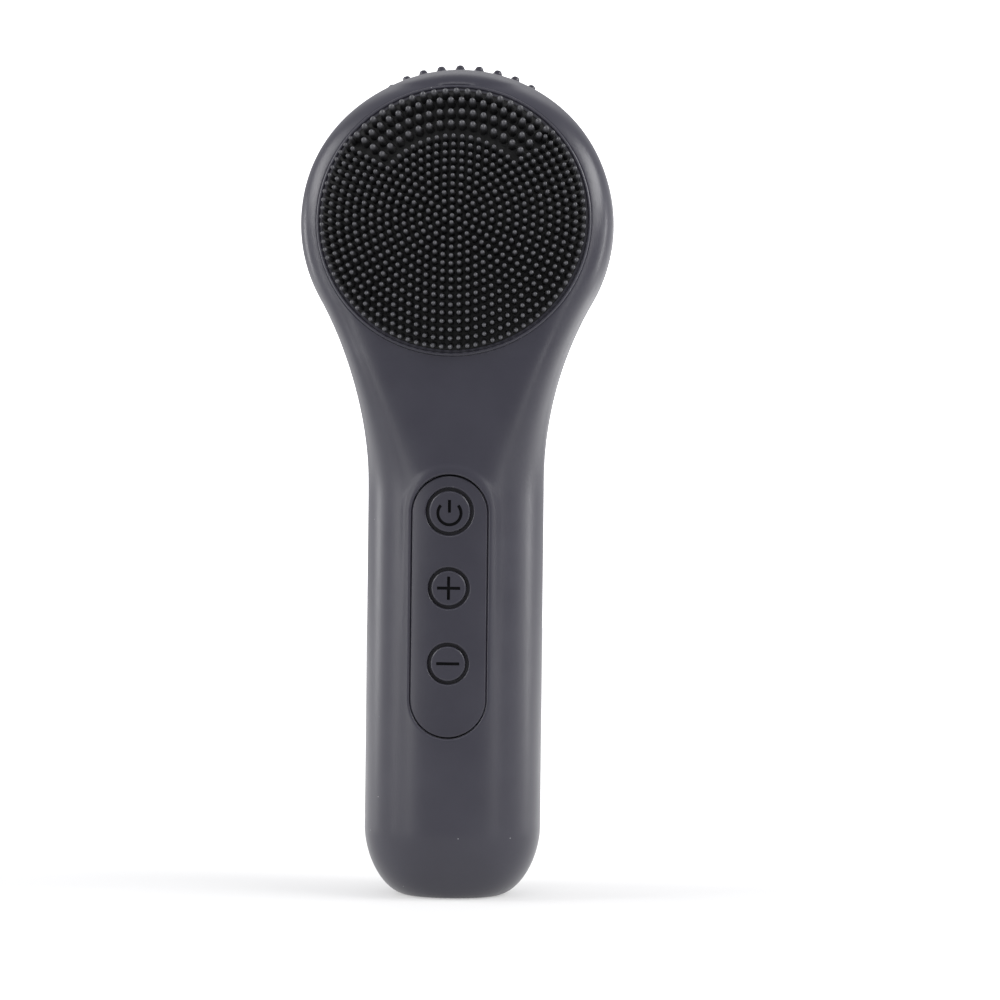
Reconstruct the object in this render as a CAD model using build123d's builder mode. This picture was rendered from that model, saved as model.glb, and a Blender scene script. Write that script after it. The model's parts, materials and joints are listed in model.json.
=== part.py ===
from build123d import *
import math
import os

# A facial cleansing brush that stands on its base: a silicone sleeve over a two-part shell,
# a domed brush pad in front, three buttons, a battery, a motor and charging contacts.
# Millimetres. +Z runs up the handle, the brush pad faces -Y, +X is to the right of someone
# facing the pad, and the origin is the centre of the flat base face.

# ---- Driving dimensions ----
# Outer form
handle_half_width = 17.0
handle_half_depth = 16.0
head_radius = 30.0
head_z = 129.5
top_z = head_z + head_radius
neck_radius = 69.0
neck_start = 76.0
base_flat = 9.0
base_round = 13.0
base_power = 1.8
back_half_depth = 17.5
back_widest_z = 116.0
back_dome_power = 2.2
handle_front_power = 2.2
head_front_power = 6.0
crown_rounding_z = 138.0
back_power = 2.1

# Brush face, which leans back from the vertical
face_tilt = 7.0
face_y = -13.8
face_z = 129.4
rim_radius = 26.2
rim_width = 1.1
rim_proud = 0.35
rim_groove = 0.12
pad_thickness = 1.6
pad_edge_height = 2.6
pad_crown_height = 4.8
plate_thickness = 1.2
bulkhead_thickness = 2.0
bulkhead_hole = 12.0

# Shell inside the sleeve: its outline is inset from the outline of the outer form
shell_inset = 2.4
shell_wall = 1.8
shell_front = -12.2
shell_back = 11.8
shell_edge_radius = 9.0
shell_head_inset = 1.2
shell_gap = 0.1
bulkhead_overlap = 0.4
hole_gap = 0.05
clear_cut = 20.0
crown_cut_y = 11.8
crown_cut_z = 138.0
crown_cut_tilt = 32.0
seal_thickness = 1.0

# Control panel and buttons
panel_length = 49.55
panel_width = 14.35
panel_z = 56.0
panel_groove = 0.25
panel_front = -15.85
panel_back = -13.6
panel_curve_radius = 22.7
plateau_front = panel_back + 0.05
moat_width = 0.64
edge_radius = 0.3
buttons = {
    "power": (74.0, 3.9),
    "plus": (59.5, 3.3),
    "minus": (45.2, 3.3),
}
flange_margin = 1.3
flange_front = -13.5
flange_thickness = 0.7
plunger_radius = 1.5
button_gap = 0.2
plunger_end = -10.3
icon_line = 0.58
icon_half = 2.2
icon_floor = -15.3
icon_thickness = 0.2
power_icon_drop = 0.3
power_icon_gap = 48.0
power_icon_bar = (0.1, 2.5)

# Circuit board and what is on it
board_front = -8.4
board_thickness = 1.2
board_back = board_front + board_thickness
board_half_width = 8.0
board_bottom = 22.0
board_top = 88.0
board_screw_x = 6.0
board_screw_z = (26.0, 85.0)
board_screw_radius = 0.8
board_boss_radius = 1.7
board_boss_end = -11.2
switch_side = 4.6
switch_height = 1.2
stem_radius = 0.9
stem_length = 0.95
stem_bore_radius = 1.1
stem_bore_depth = 0.85
led_z = 36.0
light_pipe_radius = 1.2
connector_z = 85.0
motor_lead_z = 86.5

# Battery
cell_radius = 7.0
cell_length = 50.0
cell_bottom = 31.0
cell_y = 1.2
cell_cap_radius = 2.8
cell_cap_height = 1.0

# Motor
motor_radius = 8.0
motor_bottom = 91.0
motor_top = 113.0
motor_wall = 0.8
shaft_radius = 1.0
shaft_top = 125.0
bush_radius = 1.6
bush_length = 2.0
running_gap = 0.03
fitting_gap = 0.01
boot_radius = 9.3
bracket_step_y = 8.0
clamp_radius = 10.3
clamp_ear_x = 12.0
clamp_z = 102.0
clamp_half_height = 4.0
clamp_joint_y = 0.4
clamp_ear_front = -1.2
clamp_ear_end = 13.5
bracket_half_height = 6.0
bracket_ear_back = 4.5
weight_radius = 6.5
weight_bottom = 116.0
weight_top = 124.0
magnet_bottom = 96.0
magnet_top = 108.0
magnet_inner_radius = 5.6
rotor_radius = 5.2
rotor_bottom = 95.0
rotor_top = 109.0
boot_bottom = 94.0
boot_top = 110.0

# Screws that hold the shell halves together: x, z
shell_screw_places = ((0.0, 9.5), (-17.0, 126.0), (17.0, 126.0), (0.0, 145.5))
shell_screw_radius = 1.1
shell_screw_head = 2.2
shell_screw_head_y = 3.2
shell_screw_head_height = 1.6
shell_screw_tip_y = -4.5
front_boss_radius = 2.6
front_boss_end = -10.9
back_boss_radius = 3.3
back_boss_end = 10.2

# Charging
contact_x = 5.0
contact_z = 20.0
contact_radius = 1.2
charge_board_front = 7.8
charge_board_z = (14.5, 27.5)
contact_tip_y = 15.2
contact_flange_radius = 1.9
contact_flange_thickness = 0.7
magnet_radius = 2.2
magnet_tip_y = 10.9
lead_radius = 0.5

points_round_section = 24
station_heights = (
    0, 0.4, 1.6, 4, 8, 13, 30, 55, 72, 80, 87, 94, 101, 108, 115, 122,
    129.5, 136, 142, 147, 151.5, 155, 157.5, 159,
)


# ---- Outer form ----
def ease(t):
    """Smooth step from 0 to 1."""
    t = min(max(t, 0.0), 1.0)
    return t * t * (3 - 2 * t)


def base_rounding(z):
    """Share of the way from the base flat out to the handle wall."""
    return (1 - ((base_round - z) / base_round) ** base_power) ** (1 / base_power)


def half_width(z):
    """Half width: rounded base, straight handle, concave neck arc, round head."""
    arc_x = handle_half_width + neck_radius
    arc_rise = math.sqrt((head_radius + neck_radius) ** 2 - arc_x**2)
    arc_z = head_z - arc_rise
    tangent_z = head_z - head_radius * arc_rise / (head_radius + neck_radius)
    if z < base_round:
        return base_flat + (handle_half_width - base_flat) * base_rounding(z)
    if z < arc_z:
        return handle_half_width
    if z < tangent_z:
        return arc_x - math.sqrt(neck_radius**2 - (z - arc_z) ** 2)
    return math.sqrt(head_radius**2 - (z - head_z) ** 2)


def face_depth(z):
    """Distance forward to the tilted plane of the brush face."""
    return -face_y - (z - face_z) * math.tan(math.radians(face_tilt))


rim_rise = rim_radius * math.cos(math.radians(face_tilt))
rim_low_z = face_z - rim_rise
rim_high_z = face_z + rim_rise


def front_power(z):
    """Squareness of the front of a section: an oval handle and a flat-faced head."""
    up = ease((z - neck_start) / (rim_low_z + 8 - neck_start))
    down = ease((z - crown_rounding_z) / (top_z - crown_rounding_z))
    power = handle_front_power + (head_front_power - handle_front_power) * up
    return 2 + (power - 2) * (1 - down)


def front_depth(z):
    """Half depth towards the brush face, so that the form meets the face plane at the rim."""
    if z < base_round:
        return base_flat + (handle_half_depth - base_flat) * base_rounding(z)
    if z < neck_start:
        return handle_half_depth
    if z < rim_low_z:
        share = ease((z - neck_start) / (rim_low_z - neck_start))
        return handle_half_depth + (face_depth(rim_low_z) - handle_half_depth) * share
    if z < rim_high_z:
        up_face = (z - face_z) / math.cos(math.radians(face_tilt))
        rim_x = math.sqrt(max(0.0, rim_radius**2 - up_face**2))
        share = min(0.9, rim_x / half_width(z))
        power = front_power(z)
        return face_depth(z) / (1 - share**power) ** (1 / power)
    climb = (z - rim_high_z) / (top_z - rim_high_z)
    return face_depth(rim_high_z) * math.sqrt(1 - climb**2)


def back_depth(z):
    """Half depth towards the back: straight handle, then a dome up to the top of the head."""
    if z < base_round:
        return base_flat + (handle_half_depth - base_flat) * base_rounding(z)
    if z < back_widest_z:
        share = ease((z - neck_start) / (back_widest_z - neck_start))
        return handle_half_depth + (back_half_depth - handle_half_depth) * share
    climb = (z - back_widest_z) / (top_z - back_widest_z)
    return back_half_depth * (1 - climb**back_dome_power) ** (1 / back_dome_power)


def section_points(z):
    """Closed section at one height: a superellipse with its own front and back."""
    width, front, back = half_width(z), front_depth(z), back_depth(z)
    points = []
    for step in range(points_round_section):
        angle = math.pi / 2 + 2 * math.pi * step / points_round_section
        across, along = math.cos(angle), math.sin(angle)
        power, depth = (back_power, back) if along > 0 else (front_power(z), front)
        radius = (abs(across / width) ** power + abs(along / depth) ** power) ** (-1 / power)
        points.append((radius * across, radius * along))
    return points


# ---- Planes and small helpers ----
tilt_sin = math.sin(math.radians(face_tilt))
tilt_cos = math.cos(math.radians(face_tilt))
face_origin = (0, face_y, face_z)
face_plane = Plane(origin=face_origin, x_dir=(1, 0, 0), z_dir=(0, -tilt_cos, tilt_sin))
face_section = Plane(origin=face_origin, x_dir=(1, 0, 0), z_dir=(0, -tilt_sin, -tilt_cos))
face_axis = Axis(face_origin, (0, -tilt_cos, tilt_sin))
crown_plane = Plane(
    origin=(0, crown_cut_y, crown_cut_z),
    x_dir=(1, 0, 0),
    z_dir=(0, math.cos(math.radians(crown_cut_tilt)), math.sin(math.radians(crown_cut_tilt))),
)
reach = 60.0


def finish(piece, name):
    """Label a finished piece and write it."""
    piece.part.label = name
    export_step(piece.part, f"parts/{name}.step")


def rod_y(places, radius, start, end, mode=Mode.ADD):
    """Round bars along Y at places given as x, z."""
    with BuildSketch(Plane.XZ.offset(-start)) as profile:
        with Locations(*places):
            Circle(radius)
    extrude(profile.sketch, amount=start - end, mode=mode)


def slab_y(x_range, y_range, z_range, mode=Mode.ADD):
    """A block between two corners."""
    size = [high - low for low, high in (x_range, y_range, z_range)]
    middle = [(high + low) / 2 for low, high in (x_range, y_range, z_range)]
    with Locations(tuple(middle)):
        Box(*size, mode=mode)


def rod_z(places, radius, bottom, top, mode=Mode.ADD):
    """Round bars along Z at places given as x, y."""
    with BuildSketch(Plane.XY.offset(bottom)) as profile:
        with Locations(*places):
            Circle(radius)
    extrude(profile.sketch, amount=top - bottom, mode=mode)


def disc_on_face(radius, low, high, mode=Mode.ADD):
    """A disc square to the brush face, between two heights over the face plane."""
    with BuildSketch(face_plane.offset(low)) as profile:
        Circle(radius)
    extrude(profile.sketch, amount=high - low, mode=mode)


def lead(start, corner, end, bend):
    """A wire of two straight runs with a round bend."""
    with BuildPart() as wire:
        with BuildLine() as route:
            Polyline(start, corner, end)
            fillet(route.vertices().sort_by_distance(corner)[0], radius=bend)
        with BuildSketch(Plane(origin=start, z_dir=route.line % 0)):
            Circle(lead_radius)
        sweep()
    return wire.part


def outline_sketch(inset):
    """Front outline: a bar with a round head, joined by the two neck arcs."""
    half = handle_half_width - inset
    with BuildSketch(Plane.XZ) as outline:
        with Locations((0, inset)):
            Rectangle(2 * half, head_z - inset, align=(Align.CENTER, Align.MIN))
        with Locations((0, head_z)):
            Circle(head_radius - shell_head_inset - inset)
        side_corners = outline.vertices().filter_by(lambda corner: abs(abs(corner.X) - half) < 0.01)
        fillet(side_corners.group_by(Axis.Y)[-1], radius=neck_radius + inset)
        fillet(outline.vertices().group_by(Axis.Y)[0], radius=shell_edge_radius)
    return outline.sketch


def crown_cut(inset):
    """Slope the shell away from the top of the back of the head."""
    with BuildSketch(crown_plane.offset(-inset)) as cut:
        Circle(reach)
    extrude(cut.sketch, amount=reach, mode=Mode.SUBTRACT)


def shell_block(inset):
    """The rounded block of the shell, inset from its outside, with its two head cuts."""
    with BuildPart() as block:
        extrude(outline_sketch(shell_inset + inset), amount=-shell_front - inset)
        extrude(outline_sketch(shell_inset + inset), amount=-(shell_back - inset))
        rims = block.faces().sort_by(Axis.Y)
        fillet(rims[0].edges() + rims[-1].edges(), radius=shell_edge_radius - max(inset, 0))
        disc_on_face(reach, -seat_depth - inset, reach, mode=Mode.SUBTRACT)
        crown_cut(inset)
    return block.part


def curved_front():
    """Keep what lies behind the curved front of the control panel."""
    with BuildSketch(Plane.XY) as round_front:
        with Locations((0, panel_front + panel_curve_radius)):
            Circle(panel_curve_radius)
    extrude(round_front.sketch, amount=top_z, mode=Mode.INTERSECT)


os.makedirs("parts", exist_ok=True)
seat_depth = pad_thickness + plate_thickness
seat_radius = rim_radius + shell_gap
inner_back = shell_back - shell_wall - shell_gap
shell_outside = shell_block(0.0)
shell_cavity = shell_block(shell_wall)

button_places = {name: (0.0, z) for name, (z, radius) in buttons.items()}
contact_places = ((-contact_x, contact_z), (contact_x, contact_z))
board_screw_places = [(side * board_screw_x, z) for side in (-1, 1) for z in board_screw_z]

# ---- Silicone sleeve: a loft up to a point, open for the pad, the panel and the contacts ----
with BuildPart() as silicone_sleeve:
    for height in station_heights:
        with BuildSketch(Plane.XY.offset(height)):
            with BuildLine():
                Spline(*section_points(height), periodic=True)
            make_face()
    loft(sections=[*silicone_sleeve.pending_faces, Vertex(0, 0, top_z)])
    silicone_sleeve.pending_faces.clear()
    add(shell_block(-shell_gap), mode=Mode.SUBTRACT)
    disc_on_face(rim_radius + rim_groove, -6.0, 12.0, mode=Mode.SUBTRACT)
    with BuildSketch(Plane.XZ.offset(10.0)) as panel_opening:
        with Locations((0, panel_z)):
            SlotOverall(panel_length + 2 * panel_groove, panel_width + 2 * panel_groove, rotation=90)
    extrude(panel_opening.sketch, amount=10.0, mode=Mode.SUBTRACT)
    rod_y(contact_places, contact_radius + hole_gap, clear_cut, 10.0, mode=Mode.SUBTRACT)
finish(silicone_sleeve, "silicone_sleeve")

# ---- Brush pad: the closed space that its nubs fill, with its rim bead and backing ----
with BuildPart() as brush_pad:
    pad_radius = rim_radius - rim_width - 0.05
    with BuildSketch(face_section):
        with BuildLine():
            Polyline((0, pad_crown_height), (0, -pad_thickness), (pad_radius, -pad_thickness))
            Line((pad_radius, -pad_thickness), (pad_radius, pad_edge_height))
            sag = pad_crown_height - pad_edge_height
            RadiusArc(
                (pad_radius, pad_edge_height),
                (0, pad_crown_height),
                -(pad_radius**2 + sag**2) / (2 * sag),
            )
        make_face()
    revolve(axis=face_axis)
finish(brush_pad, "brush_pad")

with BuildPart() as brush_pad_rim:
    rim_middle = rim_radius - rim_width / 2
    with BuildSketch(face_section):
        with Locations((rim_middle, -pad_thickness / 2)):
            Rectangle(rim_width, pad_thickness)
        with Locations((rim_radius - rim_proud, 0)):
            Circle(rim_proud)
    revolve(axis=face_axis)
finish(brush_pad_rim, "brush_pad_rim")

with BuildPart() as brush_backing_plate:
    disc_on_face(rim_radius - 0.1, -pad_thickness - plate_thickness, -pad_thickness)
    with BuildSketch(face_plane.offset(-pad_thickness)):
        with PolarLocations(20.0, 6):
            Circle(1.5)
    extrude(amount=-plate_thickness, mode=Mode.SUBTRACT)
finish(brush_backing_plate, "brush_backing_plate")

# ---- Shell halves with their bosses, and the seal between them ----
with BuildPart() as front_shell:
    add(shell_outside)
    disc_on_face(seat_radius, -seat_depth - bulkhead_thickness - bulkhead_overlap, -seat_depth)
    add(shell_cavity, mode=Mode.SUBTRACT)
    slab_y((-reach, reach), (-reach, -seal_thickness / 2), (-reach, 3 * reach), mode=Mode.INTERSECT)
    with BuildSketch(Plane.XZ.offset(-shell_front)) as plateau:
        with Locations((0, panel_z)):
            SlotOverall(panel_length - 0.6, panel_width - 0.6, rotation=90)
    extrude(plateau.sketch, amount=shell_front - plateau_front)
    rod_y(shell_screw_places, front_boss_radius, 0.0, front_boss_end)
    rod_y(board_screw_places, board_boss_radius, board_front, board_boss_end)
    disc_on_face(seat_radius, -seat_depth, clear_cut, mode=Mode.SUBTRACT)
    disc_on_face(bulkhead_hole, -12.0, clear_cut, mode=Mode.SUBTRACT)
    rod_y(board_screw_places, board_screw_radius + 0.02, board_front, -10.9, mode=Mode.SUBTRACT)
    rod_y(shell_screw_places, shell_screw_radius + 0.02, 0.0, -5.0, mode=Mode.SUBTRACT)
    rod_y([(0, led_z)], light_pipe_radius + hole_gap, board_front, -clear_cut, mode=Mode.SUBTRACT)
    for z, radius in buttons.values():
        well_radius = radius + flange_margin + button_gap
        rod_y([(0, z)], well_radius, shell_front, -clear_cut, mode=Mode.SUBTRACT)
        rod_y([(0, z)], plunger_radius + button_gap, board_front, -clear_cut, mode=Mode.SUBTRACT)
finish(front_shell, "front_shell")

with BuildPart() as back_shell:
    add(shell_outside)
    add(shell_cavity, mode=Mode.SUBTRACT)
    slab_y((-reach, reach), (seal_thickness / 2, reach), (-reach, 3 * reach), mode=Mode.INTERSECT)
    rod_y(shell_screw_places, back_boss_radius, back_boss_end, 0.0)
    crown_cut(0.0)
    rod_y(shell_screw_places, shell_screw_radius + 0.2, clear_cut, 0.0, mode=Mode.SUBTRACT)
    rod_y(shell_screw_places, shell_screw_head + 0.2, clear_cut, shell_screw_head_y, mode=Mode.SUBTRACT)
    rod_y(contact_places, contact_radius + hole_gap, clear_cut, 8.0, mode=Mode.SUBTRACT)
    rod_y([(0, contact_z)], magnet_radius + 0.1, magnet_tip_y + 0.1, 8.0, mode=Mode.SUBTRACT)
finish(back_shell, "back_shell")

with BuildPart() as shell_seal:
    extrude(outline_sketch(shell_inset), amount=seal_thickness / 2, both=True)
    extrude(outline_sketch(shell_inset + shell_wall), amount=1.0, both=True, mode=Mode.SUBTRACT)
    rod_y(shell_screw_places, back_boss_radius + 0.1, 1.0, -1.0, mode=Mode.SUBTRACT)
finish(shell_seal, "shell_seal")

with BuildPart() as shell_screws:
    rod_y(shell_screw_places, shell_screw_radius, shell_screw_head_y, shell_screw_tip_y)
    head_top = shell_screw_head_y + shell_screw_head_height
    rod_y(shell_screw_places, shell_screw_head, head_top, shell_screw_head_y)
finish(shell_screws, "shell_screws")

# ---- Control panel ----
with BuildPart() as control_panel:
    with BuildSketch(Plane.XZ.offset(-panel_back)):
        with Locations((0, panel_z)):
            SlotOverall(panel_length, panel_width, rotation=90)
    extrude(amount=5.0)
    curved_front()
    for z, radius in buttons.values():
        rod_y([(0, z)], radius + moat_width, board_front, -clear_cut, mode=Mode.SUBTRACT)
    front = control_panel.faces().filter_by(GeomType.CYLINDER).sort_by(SortBy.AREA)[-1]
    fillet(front.edges(), radius=edge_radius)
finish(control_panel, "control_panel")


# ---- Buttons, their icons and the switch stems that they press ----
def icon_sketch(name):
    """The outline of one icon, centred on its button."""
    if name == "power":
        gap_half = 2 * icon_half * math.tan(math.radians(power_icon_gap))
        gap_corners = ((0, 0), (gap_half, 2 * icon_half), (-gap_half, 2 * icon_half))
        bar_low, bar_high = power_icon_bar
        with Locations((0, -power_icon_drop)):
            Circle(icon_half + icon_line / 2)
            Circle(icon_half - icon_line / 2, mode=Mode.SUBTRACT)
            Polygon(*gap_corners, align=None, mode=Mode.SUBTRACT)
        with Locations((0, (bar_low + bar_high) / 2 - power_icon_drop)):
            Rectangle(icon_line, bar_high - bar_low)
        return
    Rectangle(2 * icon_half, icon_line)
    if name == "plus":
        Rectangle(icon_line, 2 * icon_half)


for name, (z, radius) in buttons.items():
    button_place = Plane(origin=(0, icon_floor, z), x_dir=(1, 0, 0), z_dir=(0, -1, 0))
    with BuildPart() as icon:
        with BuildSketch(button_place):
            icon_sketch(name)
        extrude(amount=icon_thickness)
    finish(icon, f"{name}_icon")

    with BuildPart() as button:
        rod_y([(0, z)], radius, flange_front, -clear_cut)
        curved_front()
        fillet(button.faces().sort_by(Axis.Y)[0].edges(), radius=edge_radius)
        with BuildSketch(button_place):
            icon_sketch(name)
        extrude(amount=3.0, mode=Mode.SUBTRACT)
        rod_y([(0, z)], radius + flange_margin, flange_front + flange_thickness, flange_front)
        rod_y([(0, z)], plunger_radius, plunger_end, flange_front + flange_thickness)
    finish(button, f"{name}_button")

    with BuildPart() as stem:
        rod_y([(0, z)], stem_radius, plunger_end + stem_length, plunger_end)
    finish(stem, f"{name}_switch_stem")

# ---- Circuit board and its components ----
with BuildPart() as circuit_board:
    board_sides = (-board_half_width, board_half_width)
    slab_y(board_sides, (board_front, board_back), (board_bottom, board_top))
    fillet(circuit_board.edges().filter_by(Axis.Y), radius=1.5)
    rod_y(board_screw_places, board_screw_radius + 0.1, board_back, board_front, mode=Mode.SUBTRACT)
finish(circuit_board, "circuit_board")

with BuildPart() as board_screws:
    rod_y(board_screw_places, board_screw_radius, board_back, -10.7)
    rod_y(board_screw_places, 1.4, board_back + 1.0, board_back)
finish(board_screws, "board_screws")

with BuildPart() as switch_bodies:
    switch_front = board_front - switch_height
    switch_half = switch_side / 2
    for x, z in button_places.values():
        sides = (x - switch_half, x + switch_half)
        slab_y(sides, (switch_front, board_front), (z - switch_half, z + switch_half))
    bore_floor = switch_front + stem_bore_depth
    rod_y(list(button_places.values()), stem_bore_radius, bore_floor, switch_front, mode=Mode.SUBTRACT)
finish(switch_bodies, "switch_bodies")

with BuildPart() as controller_chip:
    slab_y((-3.0, 3.0), (board_back, board_back + 0.9), (49.0, 55.0))
    chamfer(controller_chip.faces().sort_by(Axis.Y)[-1].edges(), length=0.15)
finish(controller_chip, "controller_chip")

with BuildPart() as charger_chip:
    slab_y((-2.0, 2.0), (board_back, board_back + 0.8), (36.0, 40.0))
    chamfer(charger_chip.faces().sort_by(Axis.Y)[-1].edges(), length=0.15)
finish(charger_chip, "charger_chip")

with BuildPart() as capacitors:
    for x in (-5.6, 5.6):
        for z in (44.0, 60.0, 72.0):
            slab_y((x - 0.8, x + 0.8), (board_back, board_back + 1.2), (z - 1.6, z + 1.6))
finish(capacitors, "capacitors")

with BuildPart() as indicator_led:
    slab_y((-0.8, 0.8), (board_front - 0.7, board_front), (led_z - 0.45, led_z + 0.45))
finish(indicator_led, "indicator_led")

with BuildPart() as light_pipe:
    rod_y([(0, led_z)], light_pipe_radius, board_front - 0.8, plateau_front)
finish(light_pipe, "light_pipe")

# ---- Battery, its cradle and its leads ----
cell_top = cell_bottom + cell_length
with BuildPart() as battery_cell:
    rod_z([(0, cell_y)], cell_radius, cell_bottom, cell_top)
    fillet(battery_cell.edges(), radius=0.8)
    rod_z([(0, cell_y)], cell_cap_radius, cell_top, cell_top + cell_cap_height)
finish(battery_cell, "battery_cell")

with BuildPart() as battery_cradle:
    cradle_bottom, cradle_top = cell_bottom - 2.0, cell_top + 2.0
    rod_z([(0, cell_y)], cell_radius + 1.3, cradle_bottom, cradle_top)
    slab_y((-3.0, 3.0), (cell_y, inner_back), (cradle_bottom, cradle_top))
    rod_z([(0, cell_y)], cell_radius + 0.15, cell_bottom - 0.2, cell_top + 0.8, mode=Mode.SUBTRACT)
    slab_y((-clear_cut, clear_cut), (-clear_cut, cell_y + 0.1), (0.0, 100.0), mode=Mode.SUBTRACT)
    rod_z([(0, cell_y)], cell_cap_radius + 0.4, cell_top, cradle_top, mode=Mode.SUBTRACT)
finish(battery_cradle, "battery_cradle")

with BuildPart() as battery_connector:
    slab_y((-3.0, 3.0), (board_back, -3.8), (connector_z - 1.5, connector_z + 1.5))
finish(battery_connector, "battery_connector")

with BuildPart() as battery_leads:
    cap_top = cell_top + cell_cap_height
    for x in (-1.6, 1.6):
        add(lead((x, 0.5, cap_top), (x, 0.5, connector_z), (x, -3.8, connector_z), 1.6))
finish(battery_leads, "battery_leads")

# ---- Motor: can, magnets, bushes, end cap and what spins ----
motor_axis_place = [(0.0, 0.0)]
inner_radius = motor_radius - motor_wall
shaft_hole = shaft_radius + fitting_gap
with BuildPart() as motor_can:
    rod_z(motor_axis_place, motor_radius, motor_bottom, motor_top)
    fillet(motor_can.edges().sort_by(Axis.Z)[-1], radius=0.6)
    rod_z(motor_axis_place, inner_radius, motor_bottom, motor_top - 1.0, mode=Mode.SUBTRACT)
    rod_z(motor_axis_place, bush_radius, motor_top - 1.0, motor_top, mode=Mode.SUBTRACT)
finish(motor_can, "motor_can")

with BuildPart() as motor_endcap:
    rod_z(motor_axis_place, inner_radius - 0.02, motor_bottom, motor_bottom + bush_length)
    rod_z(motor_axis_place, bush_radius, motor_bottom, motor_bottom + bush_length, mode=Mode.SUBTRACT)
finish(motor_endcap, "motor_endcap")

with BuildPart() as motor_bushes:
    for bottom in (motor_bottom, motor_top - 1.0):
        rod_z(motor_axis_place, bush_radius, bottom, bottom + bush_length)
    rod_z(motor_axis_place, shaft_radius + running_gap, motor_bottom, motor_top + 5, mode=Mode.SUBTRACT)
finish(motor_bushes, "motor_bushes")

with BuildPart() as motor_magnets:
    rod_z(motor_axis_place, inner_radius - 0.02, magnet_bottom, magnet_top)
    rod_z(motor_axis_place, magnet_inner_radius, magnet_bottom, magnet_top, mode=Mode.SUBTRACT)
    slab_y((-3.0, 3.0), (-10.0, 10.0), (90.0, 115.0), mode=Mode.SUBTRACT)
finish(motor_magnets, "motor_magnets")

with BuildPart() as motor_shaft:
    rod_z(motor_axis_place, shaft_radius, motor_bottom + 0.5, shaft_top)
    chamfer(motor_shaft.edges(), length=0.15)
finish(motor_shaft, "motor_shaft")

with BuildPart() as motor_rotor:
    rod_z(motor_axis_place, rotor_radius, rotor_bottom, rotor_top)
    rod_z(motor_axis_place, shaft_hole, rotor_bottom, rotor_top, mode=Mode.SUBTRACT)
    with BuildSketch(Plane.XY.offset(rotor_bottom)):
        with PolarLocations(5.0, 3):
            Rectangle(2.4, 0.8)
    extrude(amount=rotor_top - rotor_bottom, mode=Mode.SUBTRACT)
finish(motor_rotor, "motor_rotor")

with BuildPart() as eccentric_weight:
    rod_z(motor_axis_place, weight_radius, weight_bottom, weight_top)
    slab_y((-10.0, 10.0), (1.8, 10.0), (weight_bottom, weight_top), mode=Mode.SUBTRACT)
    rod_z(motor_axis_place, shaft_hole, weight_bottom, weight_top, mode=Mode.SUBTRACT)
finish(eccentric_weight, "eccentric_weight")

# ---- Motor mounting: rubber boot, bracket, clamp, screws and leads ----
with BuildPart() as motor_boot:
    rod_z(motor_axis_place, boot_radius, boot_bottom, boot_top)
    rod_z(motor_axis_place, motor_radius + 0.05, boot_bottom, boot_top, mode=Mode.SUBTRACT)
finish(motor_boot, "motor_boot")

clamp_screw_places = ((-clamp_ear_x, clamp_z), (clamp_ear_x, clamp_z))
boot_hole = boot_radius + 0.05
with BuildPart() as motor_bracket:
    bracket_heights = (clamp_z - bracket_half_height, clamp_z + bracket_half_height)
    slab_y((-clamp_ear_end, clamp_ear_end), (clamp_joint_y, bracket_ear_back), bracket_heights)
    slab_y((-11.5, 11.5), (bracket_ear_back, bracket_step_y), bracket_heights)
    slab_y((-8.0, 8.0), (bracket_step_y, inner_back), bracket_heights)
    rod_z(motor_axis_place, boot_hole, 90.0, 115.0, mode=Mode.SUBTRACT)
    rod_y(clamp_screw_places, 0.97, bracket_ear_back, clamp_joint_y, mode=Mode.SUBTRACT)
finish(motor_bracket, "motor_bracket")

with BuildPart() as motor_clamp:
    clamp_heights = (clamp_z - clamp_half_height, clamp_z + clamp_half_height)
    rod_z(motor_axis_place, clamp_radius, *clamp_heights)
    for side in (-1, 1):
        ear = sorted((side * 9.8, side * clamp_ear_end))
        slab_y(ear, (clamp_ear_front, clamp_joint_y), clamp_heights)
    rod_z(motor_axis_place, boot_hole, 90.0, 115.0, mode=Mode.SUBTRACT)
    slab_y((-clear_cut, clear_cut), (clamp_joint_y, clear_cut), (90.0, 115.0), mode=Mode.SUBTRACT)
    rod_y(clamp_screw_places, 1.1, clamp_joint_y, clamp_ear_front, mode=Mode.SUBTRACT)
finish(motor_clamp, "motor_clamp")

with BuildPart() as motor_clamp_screws:
    rod_y(clamp_screw_places, 0.95, 4.0, clamp_ear_front)
    rod_y(clamp_screw_places, 1.7, clamp_ear_front, clamp_ear_front - 1.2)
finish(motor_clamp_screws, "motor_clamp_screws")

with BuildPart() as motor_leads:
    for x in (-4.2, 4.2):
        corner = (x, -1.0, motor_lead_z)
        add(lead((x, -1.0, motor_bottom), corner, (x, board_back, motor_lead_z), 1.8))
finish(motor_leads, "motor_leads")

# ---- Charging contacts, board, magnet and leads at the lower back ----
charge_board_back = charge_board_front + 1.2
with BuildPart() as charging_contacts:
    rod_y(contact_places, contact_radius, contact_tip_y, charge_board_back)
    flange_back = charge_board_back + contact_flange_thickness
    rod_y(contact_places, contact_flange_radius, flange_back, charge_board_back)
finish(charging_contacts, "charging_contacts")

with BuildPart() as charging_board:
    slab_y((-8.0, 8.0), (charge_board_front, charge_board_back), charge_board_z)
    fillet(charging_board.edges().filter_by(Axis.Y), radius=1.0)
finish(charging_board, "charging_board")

with BuildPart() as charging_magnet:
    rod_y([(0, contact_z)], magnet_radius, magnet_tip_y, charge_board_back)
finish(charging_magnet, "charging_magnet")

with BuildPart() as charging_leads:
    rod_y(((-4.5, 24.5), (4.5, 24.5)), lead_radius, charge_board_front, board_back)
finish(charging_leads, "charging_leads")
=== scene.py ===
import json
import math

import bmesh
import bpy
import numpy as np
from mathutils import Matrix, Vector
from mathutils.geometry import delaunay_2d_cdt


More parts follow.
